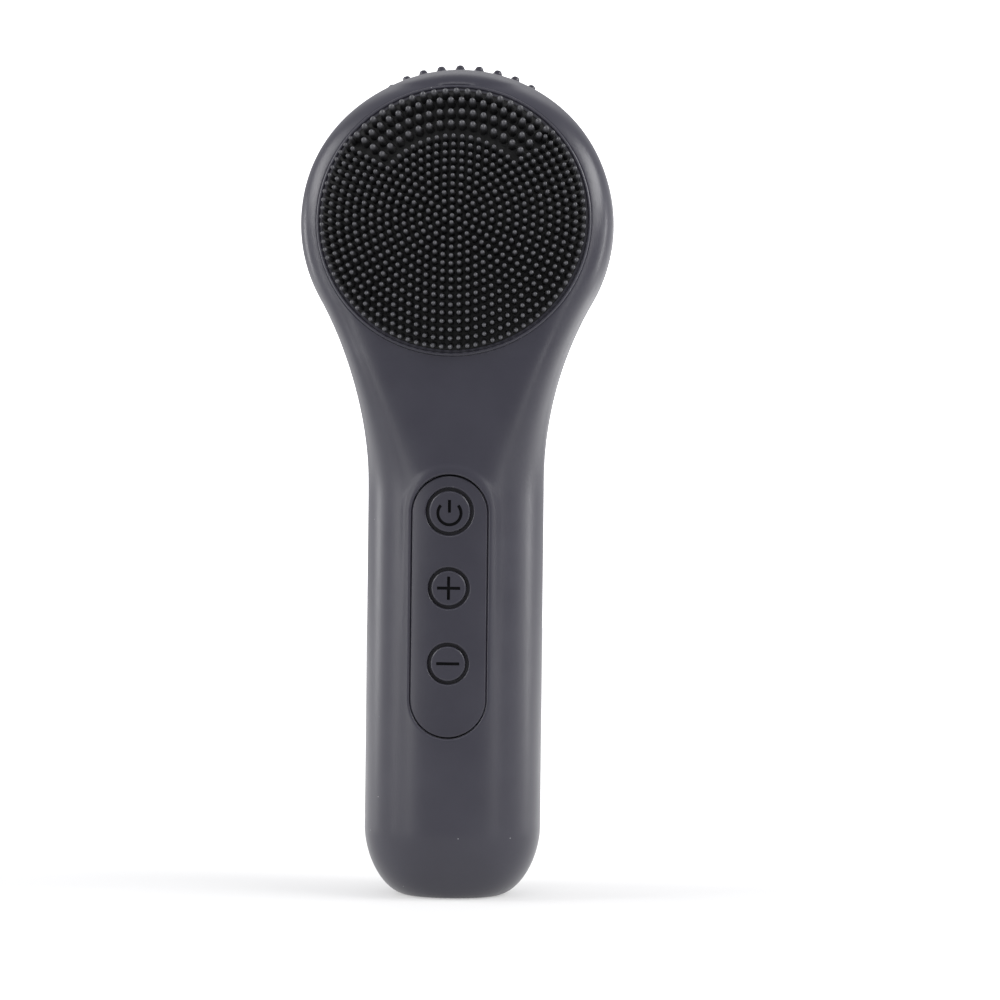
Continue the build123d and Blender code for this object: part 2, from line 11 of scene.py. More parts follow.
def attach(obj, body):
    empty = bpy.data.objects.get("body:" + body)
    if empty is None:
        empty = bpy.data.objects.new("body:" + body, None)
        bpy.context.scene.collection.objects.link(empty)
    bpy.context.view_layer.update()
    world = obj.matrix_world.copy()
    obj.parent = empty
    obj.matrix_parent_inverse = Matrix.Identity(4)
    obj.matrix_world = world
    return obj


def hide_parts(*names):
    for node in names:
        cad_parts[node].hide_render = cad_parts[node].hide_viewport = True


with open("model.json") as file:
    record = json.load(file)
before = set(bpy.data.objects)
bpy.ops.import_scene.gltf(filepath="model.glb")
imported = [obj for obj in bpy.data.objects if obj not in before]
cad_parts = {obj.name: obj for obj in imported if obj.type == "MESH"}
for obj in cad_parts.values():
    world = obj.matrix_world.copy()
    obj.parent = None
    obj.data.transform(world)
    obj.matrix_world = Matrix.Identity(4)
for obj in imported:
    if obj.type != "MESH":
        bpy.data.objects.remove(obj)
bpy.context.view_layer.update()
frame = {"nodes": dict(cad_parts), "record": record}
nodes = frame["nodes"]
MM = 0.001

# ---- Outer form, in millimetres: the same formula as the CAD sleeve's ----
HANDLE_HALF_WIDTH = 17.0
HANDLE_HALF_DEPTH = 16.0
HEAD_RADIUS = 30.0
HEAD_Z = 129.5
TOP_Z = HEAD_Z + HEAD_RADIUS
NECK_RADIUS = 69.0
NECK_START = 76.0
BASE_FLAT = 9.0
BASE_ROUND = 13.0
BASE_POWER = 1.8
BACK_HALF_DEPTH = 17.5
BACK_WIDEST_Z = 116.0
BACK_DOME_POWER = 2.2
HANDLE_FRONT_POWER = 2.2
HEAD_FRONT_POWER = 6.0
CROWN_ROUNDING_Z = 138.0
BACK_POWER = 2.1

FACE_TILT = math.radians(7.0)
FACE_Y = -13.8
FACE_Z = 129.4
RIM_RADIUS = 26.2
RIM_WIDTH = 1.1
PAD_OPENING = 26.22
PAD_RADIUS = RIM_RADIUS - RIM_WIDTH - 0.05
PAD_THICKNESS = 1.6

PANEL_Z = 56.0
PANEL_LENGTH = 49.55
PANEL_WIDTH = 14.35
PANEL_GROOVE = 0.25
CONTACT_X = 5.0
CONTACT_Z = 20.0
CONTACT_HOLE = 1.25

FACE_ORIGIN = np.array([0.0, FACE_Y, FACE_Z])
FACE_NORMAL = np.array([0.0, -math.cos(FACE_TILT), math.sin(FACE_TILT)])
FACE_UP = np.array([0.0, math.sin(FACE_TILT), math.cos(FACE_TILT)])
FACE_RIGHT = np.array([1.0, 0.0, 0.0])
RIM_RISE = RIM_RADIUS * math.cos(FACE_TILT)
RIM_LOW_Z = FACE_Z - RIM_RISE
RIM_HIGH_Z = FACE_Z + RIM_RISE
SQUARE_FRONT_Z = RIM_LOW_Z + 8.0
RIM_SHARE_MOST = 0.9
BISECTIONS = 40


def ease(t):
    """Smooth step from 0 to 1."""
    t = np.clip(t, 0.0, 1.0)
    return t * t * (3 - 2 * t)


def base_rounding(z):
    """Share of the way from the base flat out to the handle wall."""
    t = np.clip((BASE_ROUND - z) / BASE_ROUND, 0.0, 1.0)
    return (1 - t**BASE_POWER) ** (1 / BASE_POWER)


def half_width(z):
    """Half width: rounded base, straight handle, concave neck arc, round head."""
    arc_x = HANDLE_HALF_WIDTH + NECK_RADIUS
    arc_rise = math.sqrt((HEAD_RADIUS + NECK_RADIUS) ** 2 - arc_x**2)
    arc_z = HEAD_Z - arc_rise
    tangent_z = HEAD_Z - HEAD_RADIUS * arc_rise / (HEAD_RADIUS + NECK_RADIUS)
    base = BASE_FLAT + (HANDLE_HALF_WIDTH - BASE_FLAT) * base_rounding(z)
    neck = arc_x - np.sqrt(np.maximum(NECK_RADIUS**2 - (z - arc_z) ** 2, 0.0))
    head = np.sqrt(np.maximum(HEAD_RADIUS**2 - (z - HEAD_Z) ** 2, 0.0))
    return np.select([z < BASE_ROUND, z < arc_z, z < tangent_z], [base, HANDLE_HALF_WIDTH, neck], head)


def face_depth(z):
    """Distance forward to the tilted plane of the brush face."""
    return -FACE_Y - (z - FACE_Z) * math.tan(FACE_TILT)


def front_power(z):
    """Squareness of the front of a section: an oval handle and a flat-faced head."""
    up = ease((z - NECK_START) / (SQUARE_FRONT_Z - NECK_START))
    down = ease((z - CROWN_ROUNDING_Z) / (TOP_Z - CROWN_ROUNDING_Z))
    power = HANDLE_FRONT_POWER + (HEAD_FRONT_POWER - HANDLE_FRONT_POWER) * up
    return 2 + (power - 2) * (1 - down)


def front_depth(z):
    """Half depth towards the brush face, so that the form meets the face plane at the rim."""
    base = BASE_FLAT + (HANDLE_HALF_DEPTH - BASE_FLAT) * base_rounding(z)
    share = ease((z - NECK_START) / (RIM_LOW_Z - NECK_START))
    neck = HANDLE_HALF_DEPTH + (face_depth(RIM_LOW_Z) - HANDLE_HALF_DEPTH) * share
    up_face = (z - FACE_Z) / math.cos(FACE_TILT)
    rim_x = np.sqrt(np.maximum(0.0, RIM_RADIUS**2 - up_face**2))
    rim_share = np.minimum(RIM_SHARE_MOST, rim_x / np.maximum(half_width(z), 1e-6))
    power = front_power(z)
    face = face_depth(z) / (1 - rim_share**power) ** (1 / power)
    climb = np.clip((z - RIM_HIGH_Z) / (TOP_Z - RIM_HIGH_Z), 0.0, 1.0)
    crown = face_depth(RIM_HIGH_Z) * np.sqrt(1 - climb**2)
    return np.select([z < BASE_ROUND, z < NECK_START, z < RIM_LOW_Z, z < RIM_HIGH_Z],
                     [base, HANDLE_HALF_DEPTH, neck, face], crown)


def back_depth(z):
    """Half depth towards the back: straight handle, then a dome up to the top of the head."""
    base = BASE_FLAT + (HANDLE_HALF_DEPTH - BASE_FLAT) * base_rounding(z)
    share = ease((z - NECK_START) / (BACK_WIDEST_Z - NECK_START))
    neck = HANDLE_HALF_DEPTH + (BACK_HALF_DEPTH - HANDLE_HALF_DEPTH) * share
    climb = np.clip((z - BACK_WIDEST_Z) / (TOP_Z - BACK_WIDEST_Z), 0.0, 1.0)
    dome = BACK_HALF_DEPTH * (1 - climb**BACK_DOME_POWER) ** (1 / BACK_DOME_POWER)
    return np.select([z < BASE_ROUND, z < BACK_WIDEST_Z], [base, neck], dome)


def form_point(turn, z, shrink=1.0):
    """Point of the form at a height, turn running from 0 at the back round to pi at the front."""
    across, along = -np.sin(turn), np.cos(turn)
    width = np.maximum(half_width(z), 1e-6)
    depth = np.maximum(np.where(along > 0, back_depth(z), front_depth(z)), 1e-6)
    power = np.where(along > 0, BACK_POWER, front_power(z))
    reach = (np.abs(across / width) ** power + np.abs(along / depth) ** power) ** (-1 / power)
    return np.stack([shrink * reach * across, shrink * reach * along, z], axis=-1)


def form_level(points):
    """Below 1 inside the form, above 1 outside it."""
    x, y, z = points[..., 0], points[..., 1], np.clip(points[..., 2], 0.0, TOP_Z - 1e-4)
    depth = np.where(y > 0, back_depth(z), front_depth(z))
    power = np.where(y > 0, BACK_POWER, front_power(z))
    level = (np.abs(x) / half_width(z)) ** power + (np.abs(y) / depth) ** power
    return np.where((points[..., 2] > TOP_Z) | (points[..., 2] < 0), 9.0, level)


def cast_to_form(start, direction, length):
    """Where rays that start inside the form leave it, by bisection."""
    low = np.zeros(start.shape[:-1])
    high = np.full(start.shape[:-1], float(length))
    for _ in range(BISECTIONS):
        middle = (low + high) / 2
        outside = form_level(start + middle[..., None] * direction) > 1
        high = np.where(outside, middle, high)
        low = np.where(outside, low, middle)
    return start + low[..., None] * direction


# ---- Profile: distance along the form's side from the middle of the base to the top ----
PROFILE_STEPS = 6000
TANGENT_STEP = 0.02
TANGENT_TURN = 0.001
POLE_SIZE = 0.05
profile_z = TOP_Z * (1 - np.cos(np.linspace(0, math.pi, PROFILE_STEPS))) / 2
profile_w = half_width(profile_z)
profile_steps = np.hypot(np.diff(profile_z), np.diff(profile_w))
profile_s = BASE_FLAT + np.concatenate([[0.0], np.cumsum(profile_steps)])
PROFILE_LENGTH = profile_s[-1]


def height_at(distance):
    """Height of a point of the profile at a distance along it."""
    return np.interp(distance, profile_s, profile_z)


def distance_at(z):
    """Distance along the profile to a height."""
    return np.interp(z, profile_z, profile_s)


def sleeve_point(turn, distance):
    """Point of the sleeve; distances under BASE_FLAT lie on the flat base face."""
    shrink = np.clip(distance / BASE_FLAT, 0.0, 1.0)
    return form_point(turn, height_at(distance), shrink)


def sleeve_normal(turn, distance):
    """Outward normal, from the two tangents of the sleeve."""
    low = np.clip(distance - TANGENT_STEP, 0.001, PROFILE_LENGTH)
    high = np.clip(distance + TANGENT_STEP, 0.001, PROFILE_LENGTH)
    up = sleeve_point(turn, high) - sleeve_point(turn, low)
    around = sleeve_point(turn + TANGENT_TURN, distance) - sleeve_point(turn - TANGENT_TURN, distance)
    normal = np.cross(around, up)
    length = np.linalg.norm(normal, axis=-1, keepdims=True)
    normal = np.where(length > 1e-9, normal / np.maximum(length, 1e-9), 0.0)
    normal[distance < POLE_SIZE] = (0, 0, -1)
    normal[distance > PROFILE_LENGTH - POLE_SIZE] = (0, 0, 1)
    return normal


def turn_of(points):
    """Turn of points on the form, from 0 to 2 pi."""
    return np.mod(np.arctan2(-points[..., 0], points[..., 1]), 2 * math.pi)


# ---- Openings of the sleeve: closed loops at a distance outside the opening's edge ----
PAD_START_DEPTH = 6.0
CONTACT_START_Y = 5.0
OPENING_REACH = 14.0
FACE_ZONE_DEPTH = 9.0
ELSEWHERE = 99.0


def circle_angles(count):
    """Angles evenly spread round a circle."""
    return np.linspace(0, 2 * math.pi, count, endpoint=False)


def pad_loop(gap, count):
    """Loop round the brush pad: turns and distances."""
    angle = circle_angles(count)
    radius = PAD_OPENING + gap
    across = radius * np.cos(angle)[:, None] * FACE_RIGHT
    up = radius * np.sin(angle)[:, None] * FACE_UP
    start = FACE_ORIGIN - PAD_START_DEPTH * FACE_NORMAL + across + up
    points = cast_to_form(start, FACE_NORMAL, OPENING_REACH)
    return turn_of(points), distance_at(points[:, 2])


def stadium(half_length, half_width_, count):
    """Points evenly spread round an upright stadium, centred on the origin."""
    straight = 2 * (half_length - half_width_)
    arc = math.pi * half_width_
    along = np.linspace(0, 2 * (straight + arc), count, endpoint=False)
    x, z = np.empty(count), np.empty(count)
    for k, s in enumerate(along):
        if s < straight:
            x[k], z[k] = half_width_, s - straight / 2
        elif s < straight + arc:
            a = (s - straight) / half_width_
            x[k], z[k] = half_width_ * math.cos(a), straight / 2 + half_width_ * math.sin(a)
        elif s < 2 * straight + arc:
            x[k], z[k] = -half_width_, straight / 2 - (s - straight - arc)
        else:
            a = (s - 2 * straight - arc) / half_width_
            x[k], z[k] = -half_width_ * math.cos(a), -straight / 2 - half_width_ * math.sin(a)
    return x, z


def front_turn(x, z):
    """Turn of the form's front at x and z."""
    power = front_power(z)
    y = -front_depth(z) * (1 - (np.abs(x) / half_width(z)) ** power) ** (1 / power)
    return np.mod(np.arctan2(-x, y), 2 * math.pi)


def panel_loop(gap, count):
    """Loop round the control panel: turns and distances."""
    grow = PANEL_GROOVE + gap
    x, z = stadium(PANEL_LENGTH / 2 + grow, PANEL_WIDTH / 2 + grow, count)
    z = z + PANEL_Z
    return front_turn(x, z), distance_at(z)


def contact_loop(side):
    """The loop function of the left or right charging contact."""
    def loop(gap, count):
        angle = circle_angles(count)
        radius = CONTACT_HOLE + gap
        x = side * CONTACT_X + radius * np.cos(angle)
        z = CONTACT_Z + radius * np.sin(angle)
        start = np.stack([x, np.full(count, CONTACT_START_Y), z], axis=-1)
        points = cast_to_form(start, np.array([0.0, 1.0, 0.0]), OPENING_REACH)
        return turn_of(points), distance_at(points[:, 2])
    return loop


def stadium_distance(x, z, half_length, half_width_):
    """Distance outside an upright stadium centred on the origin."""
    over = np.maximum(np.abs(z) - (half_length - half_width_), 0.0)
    return np.hypot(x, over) - half_width_


def opening_distances(points):
    """Distance of surface points from each opening's edge."""
    from_face = points - FACE_ORIGIN
    pad = np.hypot(from_face @ FACE_RIGHT, from_face @ FACE_UP) - PAD_OPENING
    pad = np.where(from_face @ FACE_NORMAL < -FACE_ZONE_DEPTH, ELSEWHERE, pad)
    at_back = points[:, 1] > 0
    panel = stadium_distance(points[:, 0], points[:, 2] - PANEL_Z, PANEL_LENGTH / 2 + PANEL_GROOVE,
                             PANEL_WIDTH / 2 + PANEL_GROOVE)
    panel = np.where(at_back, ELSEWHERE, panel)
    contacts = []
    for side in (-1, 1):
        apart = np.hypot(points[:, 0] - side * CONTACT_X, points[:, 2] - CONTACT_Z)
        contacts.append(np.where(at_back, apart - CONTACT_HOLE, ELSEWHERE))
    return pad, panel, *contacts


# ---- Meshes ----
def make_object(name, points, faces, body):
    """A smooth-shaded mesh object from points in millimetres."""
    mesh = bpy.data.meshes.new(name)
    mesh.from_pydata((np.asarray(points) * MM).tolist(), [], faces)
    build = bmesh.new()
    build.from_mesh(mesh)
    bmesh.ops.remove_doubles(build, verts=build.verts, dist=1e-7)
    bmesh.ops.recalc_face_normals(build, faces=build.faces)
    build.to_mesh(mesh)
    build.free()
    mesh.polygons.foreach_set("use_smooth", [True] * len(mesh.polygons))
    thing = bpy.data.objects.new(name, mesh)
    bpy.context.scene.collection.objects.link(thing)
    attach(thing, body)
    return thing


def lathe(profile, segments):
    """Points and faces of a turned form; the profile lists radius and height and ends on its axis."""
    angle = circle_angles(segments)
    rings = [np.stack([r * np.cos(angle), r * np.sin(angle), np.full(segments, h)], axis=-1)
             for r, h in profile[:-1]]
    points = np.concatenate([*rings, [[0.0, 0.0, profile[-1][1]]]])
    faces = [tuple(reversed(range(segments)))]
    for ring in range(len(profile) - 2):
        for k in range(segments):
            after = (k + 1) % segments
            low, high = ring * segments, (ring + 1) * segments
            faces.append((low + k, low + after, high + after, high + k))
    last = (len(profile) - 2) * segments
    for k in range(segments):
        faces.append((last + k, last + (k + 1) % segments, len(points) - 1))
    return points, faces


def repeat_faces(faces, size, count, first):
    """The faces of count copies of a form with size points, numbered from first."""
    return [tuple(first + copy * size + k for k in face) for copy in range(count) for face in faces]


# ---- Silicone sleeve ----
SEAM_SCALE = 26.0
SPACING = 0.85
SPACING_INSIDE = 3.2
RING_SAMPLES = 90
FEWEST_TURNS = 24
LOOP_CLEARANCE = 0.45
SLEEVE_THICKNESS = 1.4
LAND_HEIGHT = 0.2
LAND_WIDTH = 1.0
LAND_FALL = 1.3
LAND_START_Z = 40.0
LAND_CLIMB = 40.0
CAP_START = 3.0
ROW_TOLERANCE = 0.001
LIP = {"pad": 0.15, "panel": 0.35, "contact": 0.2}
OUTER_GAPS = {
    "pad": (0.0, 0.02, 0.06, 0.1, 0.15, 0.35, 0.8),
    "panel": (0.0, 0.04, 0.1, 0.18, 0.3, 0.6, 0.95, 1.3, 1.65, 2.0, 2.4),
    "contact": (0.0, 0.03, 0.1, 0.2, 0.5),
}
LOOP_COUNT = {"pad": 400, "panel": 300, "contact": 40}
OPENINGS = [
    ("pad", pad_loop),
    ("panel", panel_loop),
    ("contact", contact_loop(-1)),
    ("contact", contact_loop(1)),
]


def lip_inset(distance, radius):
    """How far a rounded opening edge has dropped at a distance from the opening."""
    inward = np.clip(radius - distance, 0.0, radius)
    return radius - np.sqrt(radius**2 - inward**2)


def panel_land(distance, z):
    """The sleeve rises a little round the upper part of the panel."""
    near = 1 - ease((distance - LAND_WIDTH) / LAND_FALL)
    return LAND_HEIGHT * near * ease((z - LAND_START_Z) / LAND_CLIMB)


def sleeve_skin(spacing, gaps, outer):
    """One skin of the sleeve: its points, its faces and the point numbers round each opening."""
    flat = []
    low, high = CAP_START, PROFILE_LENGTH - CAP_START
    under = np.linspace(low, BASE_FLAT, math.ceil((BASE_FLAT - low) / spacing), endpoint=False)
    side = np.linspace(BASE_FLAT, high, round((high - BASE_FLAT) / spacing) + 1)
    for distance in np.concatenate([under, side]):
        round_it = sleeve_point(np.linspace(0, 2 * math.pi, RING_SAMPLES), np.full(RING_SAMPLES, distance))
        length = np.linalg.norm(np.diff(round_it, axis=0), axis=1).sum()
        count = max(FEWEST_TURNS, round(length / spacing))
        turns = np.linspace(0, 2 * math.pi, count + 1)
        flat.append(np.stack([turns, np.full(count + 1, distance)], axis=-1))
    flat = np.concatenate(flat)
    nearest = opening_distances(sleeve_point(flat[:, 0], flat[:, 1]))
    keep = np.ones(len(flat), bool)
    for (kind, _), distance in zip(OPENINGS, nearest):
        keep &= distance > gaps[kind][-1] + spacing * LOOP_CLEARANCE
    flat = flat[keep]
    edges, rims = [], []
    for kind, loop in OPENINGS:
        for gap in gaps[kind]:
            count = LOOP_COUNT[kind]
            turns, distances = loop(gap, count)
            first = len(flat)
            flat = np.concatenate([flat, np.stack([turns, distances], axis=-1)])
            edges += [(first + k, first + (k + 1) % count) for k in range(count)]
            if gap == 0.0:
                rims.append(range(first, first + count))
    layout = [Vector((turn * SEAM_SCALE, distance)) for turn, distance in flat]
    laid, _, faces, origins, _, _ = delaunay_2d_cdt(layout, edges, [], 0, 1e-6)
    found = {old: new for new, olds in enumerate(origins) for old in olds}
    rims = [[found[k] for k in rim] for rim in rims]
    rim_of = {k: number for number, rim in enumerate(rims) for k in rim}
    faces = [face for face in faces
             if rim_of.get(face[0], -1) == -1 or len({rim_of.get(k, -1) for k in face}) > 1]
    turns = np.array([point.x for point in laid]) / SEAM_SCALE
    distances = np.array([point.y for point in laid])
    points = sleeve_point(turns, distances)
    normals = sleeve_normal(turns, distances)
    if outer:
        away = opening_distances(points)
        drop = sum(lip_inset(np.maximum(distance, 0.0), LIP[kind])
                   for (kind, _), distance in zip(OPENINGS, away))
        rise = panel_land(np.maximum(away[1], 0.0), points[:, 2])
        points = points + (rise - drop)[:, None] * normals
    else:
        points = points - SLEEVE_THICKNESS * normals
    inset = 0.0 if outer else SLEEVE_THICKNESS
    base, top = len(points), len(points) + 1
    points = np.concatenate([points, [[0, 0, inset], [0, 0, TOP_Z - inset]]])
    for limit, pole in ((low, base), (high, top)):
        row = np.flatnonzero(np.abs(distances - limit) < ROW_TOLERANCE)
        row = row[np.argsort(turns[row])]
        faces += [(int(a), int(b), pole) for a, b in zip(row[:-1], row[1:])]
    return points, faces, rims


# ---- Massage nubs on the back of the head ----
MASSAGE_PITCH = 3.5
MASSAGE_RINGS = 6
MASSAGE_TILT = math.radians(48.0)
MASSAGE_CENTRE = np.array([0.0, 0.0, 130.2])
MASSAGE_PROFILE = (
    (1.25, -0.06), (1.0, 0.05), (0.84, 0.22), (0.75, 0.45), (0.62, 0.68), (0.38, 0.84), (0.0, 0.9),
)
MASSAGE_SIDES = 14
MASSAGE_REACH = 40.0
FOOT_DEPTH = 3.0
FOOT_REACH = 8.0


def ring_places(pitch, rings):
    """Places in a plane: one at the middle and six more in each ring than in the one before."""
    places = [(0.0, 0.0)]
    for ring in range(1, rings + 1):
        for k in range(6 * ring):
            angle = math.pi / 2 + 2 * math.pi * k / (6 * ring)
            places.append((ring * pitch * math.cos(angle), ring * pitch * math.sin(angle)))
    return np.array(places)


def massage_nubs():
    """Low round nubs, each with a foot that follows the sleeve."""
    out = np.array([0.0, math.cos(MASSAGE_TILT), math.sin(MASSAGE_TILT)])
    up = np.array([0.0, -math.sin(MASSAGE_TILT), math.cos(MASSAGE_TILT)])
    places = ring_places(MASSAGE_PITCH, MASSAGE_RINGS)
    start = MASSAGE_CENTRE + places[:, :1] * FACE_RIGHT + places[:, 1:] * up
    feet = cast_to_form(start, np.broadcast_to(out, start.shape), MASSAGE_REACH)
    normals = sleeve_normal(turn_of(feet), distance_at(feet[:, 2]))
    right = np.cross(up, normals)
    right /= np.linalg.norm(right, axis=1, keepdims=True)
    forward = np.cross(normals, right)
    form, faces = lathe(MASSAGE_PROFILE, MASSAGE_SIDES)
    under = (feet[:, None] - FOOT_DEPTH * normals[:, None] + form[None, :, :1] * right[:, None]
             + form[None, :, 1:2] * forward[:, None])
    along = np.broadcast_to(normals[:, None], under.shape)
    points = cast_to_form(under, along, FOOT_REACH) + form[None, :, 2:] * normals[:, None]
    return points.reshape(-1, 3), faces, len(form), len(places)


def build_sleeve(spacing):
    """The sleeve: an outer and an inner skin joined at the openings, and the massage nubs."""
    points, faces, rims = sleeve_skin(spacing, OUTER_GAPS, outer=True)
    inner_gaps = {kind: (0.0,) for kind in OUTER_GAPS}
    inner_points, inner_faces, inner_rims = sleeve_skin(SPACING_INSIDE, inner_gaps, outer=False)
    first = len(points)
    faces += [tuple(first + k for k in face) for face in inner_faces]
    for rim, inner_rim in zip(rims, inner_rims):
        for k in range(len(rim)):
            after = (k + 1) % len(rim)
            faces.append((rim[k], rim[after], first + inner_rim[after], first + inner_rim[k]))
    nub_points, nub_faces, size, count = massage_nubs()
    first += len(inner_points)
    faces += repeat_faces(nub_faces, size, count, first)
    points = np.concatenate([points, inner_points, nub_points])
    sleeve = make_object("sleeve_skin", points, faces, "housing")
    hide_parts("silicone_sleeve")
    return sleeve


# ---- Brush pad: a domed membrane with fine nubs and, in its upper part, a band of thick ones ----
MEMBRANE_CROWN = 2.0
FINE_PITCH = 1.52
FINE_RINGS = 16
FINE_PROFILE = ((0.66, -0.3), (0.58, 0.1), (0.53, 0.5), (0.44, 2.1), (0.40, 2.45), (0.28, 2.7), (0.0, 2.8))
THICK_PROFILE = ((0.9, -0.3), (0.8, 0.1), (0.74, 0.5), (0.63, 2.0), (0.56, 2.4), (0.38, 2.74), (0.0, 2.88))
THICK_RINGS = (17.8, 20.0, 22.2, 23.9)
THICK_SPACING = 2.05
THICK_MARGIN = 1.6
FINE_SEED = 3
THICK_SEED = 5
NUB_SIDES = 12
NUB_UNEVENNESS = 0.012
# Heights over the membrane where the painted shade between the nubs gives way to painted light on their
# tips
PAINTED_LIGHT_START = 1.7
PAINTED_LIGHT_FULL = 1.0
MEMBRANE_SIDES = 160
MEMBRANE_RINGS = 24
MEMBRANE_EDGE = -0.15
AXIS_HOLE = 0.01
THICK_SECTOR = (math.radians(-52.0), math.radians(48.0))
LEAN = math.radians(14.0)


def membrane_height(radius):
    """Height of the domed membrane over the brush face."""
    return MEMBRANE_CROWN * (1 - (radius / PAD_RADIUS) ** 2)


def on_face(across, up, height):
    """Points over the brush face, from across, up and height over its plane."""
    return (FACE_ORIGIN + across[..., None] * FACE_RIGHT + up[..., None] * FACE_UP
            + height[..., None] * FACE_NORMAL)


def pad_nubs(places, profile, segments, seed):
    """Nubs standing on the membrane, leaning outwards towards the edge of the pad."""
    chance = np.random.default_rng(seed)
    radius = np.hypot(places[:, 0], places[:, 1])
    outward = places / np.maximum(radius, 1e-6)[:, None]
    lean = LEAN * (radius / PAD_RADIUS) ** 2
    tilt = outward * np.tan(lean)[:, None] + chance.normal(0.0, NUB_UNEVENNESS, places.shape)
    length = 1 + chance.normal(0.0, NUB_UNEVENNESS, len(places))
    form, faces = lathe(profile, segments)
    rise = form[None, :, 2] * length[:, None]
    across = places[:, :1] + form[None, :, 0] + tilt[:, :1] * rise
    up = places[:, 1:] + form[None, :, 1] + tilt[:, 1:] * rise
    height = membrane_height(radius)[:, None] + rise * np.cos(lean)[:, None]
    return on_face(across, up, height).reshape(-1, 3), faces, len(form), len(places)


def in_thick_band(places):
    """Whether places lie in the sector of the thick nubs."""
    radius = np.hypot(places[:, 0], places[:, 1])
    angle = np.arctan2(places[:, 0], places[:, 1])
    low, high = THICK_SECTOR
    return (radius > THICK_RINGS[0] - THICK_MARGIN) & (angle > low) & (angle < high)


def thick_places():
    """Places of the thick nubs, on arcs round the pad's centre."""
    places = []
    low, high = THICK_SECTOR
    for radius in THICK_RINGS:
        count = round((high - low) * radius / THICK_SPACING)
        for k in range(count):
            angle = low + (high - low) * (k + 0.5) / count
            places.append((radius * math.sin(angle), radius * math.cos(angle)))
    return np.array(places)


def mark_painted_light_share(pad):
    """An attribute that runs from 0 on the membrane to 1 at the nubs' tips: the share from painted shade
    between the nubs to painted light at the tips.
    """
    points = np.array([vertex.co for vertex in pad.data.vertices]) / MM - FACE_ORIGIN
    radius = np.hypot(points @ FACE_RIGHT, points @ FACE_UP)
    over = points @ FACE_NORMAL - membrane_height(np.minimum(radius, PAD_RADIUS))
    attribute = pad.data.attributes.new("painted_light_share", "FLOAT", "POINT")
    attribute.data.foreach_set("value", ease((over - PAINTED_LIGHT_START) / PAINTED_LIGHT_FULL).astype(np.float32))


def build_pad():
    """The brush pad: its membrane and all its nubs."""
    profile = [(AXIS_HOLE, -PAD_THICKNESS), (PAD_RADIUS, -PAD_THICKNESS), (PAD_RADIUS, MEMBRANE_EDGE)]
    for step in range(MEMBRANE_RINGS, 0, -1):
        radius = PAD_RADIUS * step / MEMBRANE_RINGS
        profile.append((radius, membrane_height(radius)))
    profile.append((0.0, MEMBRANE_CROWN))
    form, faces = lathe(profile, MEMBRANE_SIDES)
    points = on_face(form[:, 0], form[:, 1], form[:, 2])
    fine = ring_places(FINE_PITCH, FINE_RINGS)
    fine = fine[~in_thick_band(fine)]
    groups = ((fine, FINE_PROFILE, FINE_SEED), (thick_places(), THICK_PROFILE, THICK_SEED))
    for places, nub_profile, seed in groups:
        nub_points, nub_faces, size, count = pad_nubs(places, nub_profile, NUB_SIDES, seed)
        faces = faces + repeat_faces(nub_faces, size, count, len(points))
        points = np.concatenate([points, nub_points])
    pad = make_object("nubbed_pad", points, faces, "housing")
    mark_painted_light_share(pad)
    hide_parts("brush_pad")
    return pad


# ---- Materials, with sizes in metres ----
SKIN_GRAIN = 0.00018
SKIN_GRAIN_DEPTH = 0.0000015
DUST_SPACING = 0.0042


def link(tree, source, target):
    """Join an output to an input."""
    tree.links.new(source, target)


def new_material(name):
    """A material with its node tree, its shader and the place on the object."""
    material = bpy.data.materials.new(name)
    material.use_nodes = True
    tree = material.node_tree
    shader = tree.nodes["Principled BSDF"]
    place = tree.nodes.new("ShaderNodeTexCoord")
    return material, tree, shader, place.outputs["Object"]


def noise(tree, place, size, detail=3.0):
    """Noise whose features are about size metres across, from 0 to 1."""
    node = tree.nodes.new("ShaderNodeTexNoise")
    node.inputs["Scale"].default_value = 1 / size
    node.inputs["Detail"].default_value = detail
    link(tree, place, node.inputs["Vector"])
    return node.outputs["Fac"]


def spread(tree, value, low, high, start=0.0, end=1.0):
    """A value mapped from start..end to low..high."""
    node = tree.nodes.new("ShaderNodeMapRange")
    node.inputs["From Min"].default_value = start
    node.inputs["From Max"].default_value = end
    node.inputs["To Min"].default_value = low
    node.inputs["To Max"].default_value = high
    link(tree, value, node.inputs["Value"])
    return node.outputs["Result"]


def blend_colours(tree, share, first, second):
    """A colour between two, each a tuple or another node's output."""
    node = tree.nodes.new("ShaderNodeMix")
    node.data_type = "RGBA"
    link(tree, share, node.inputs["Factor"])
    for socket, colour in zip((6, 7), (first, second)):
        if isinstance(colour, tuple):
            node.inputs[socket].default_value = (*colour, 1.0)
        else:
            link(tree, colour, node.inputs[socket])
    return node.outputs[2]


def bump(tree, shader, height, depth):
    """Relief of a depth in metres on the shader's normal."""
    node = tree.nodes.new("ShaderNodeBump")
    node.inputs["Distance"].default_value = depth
    link(tree, height, node.inputs["Height"])
    link(tree, node.outputs["Normal"], shader.inputs["Normal"])


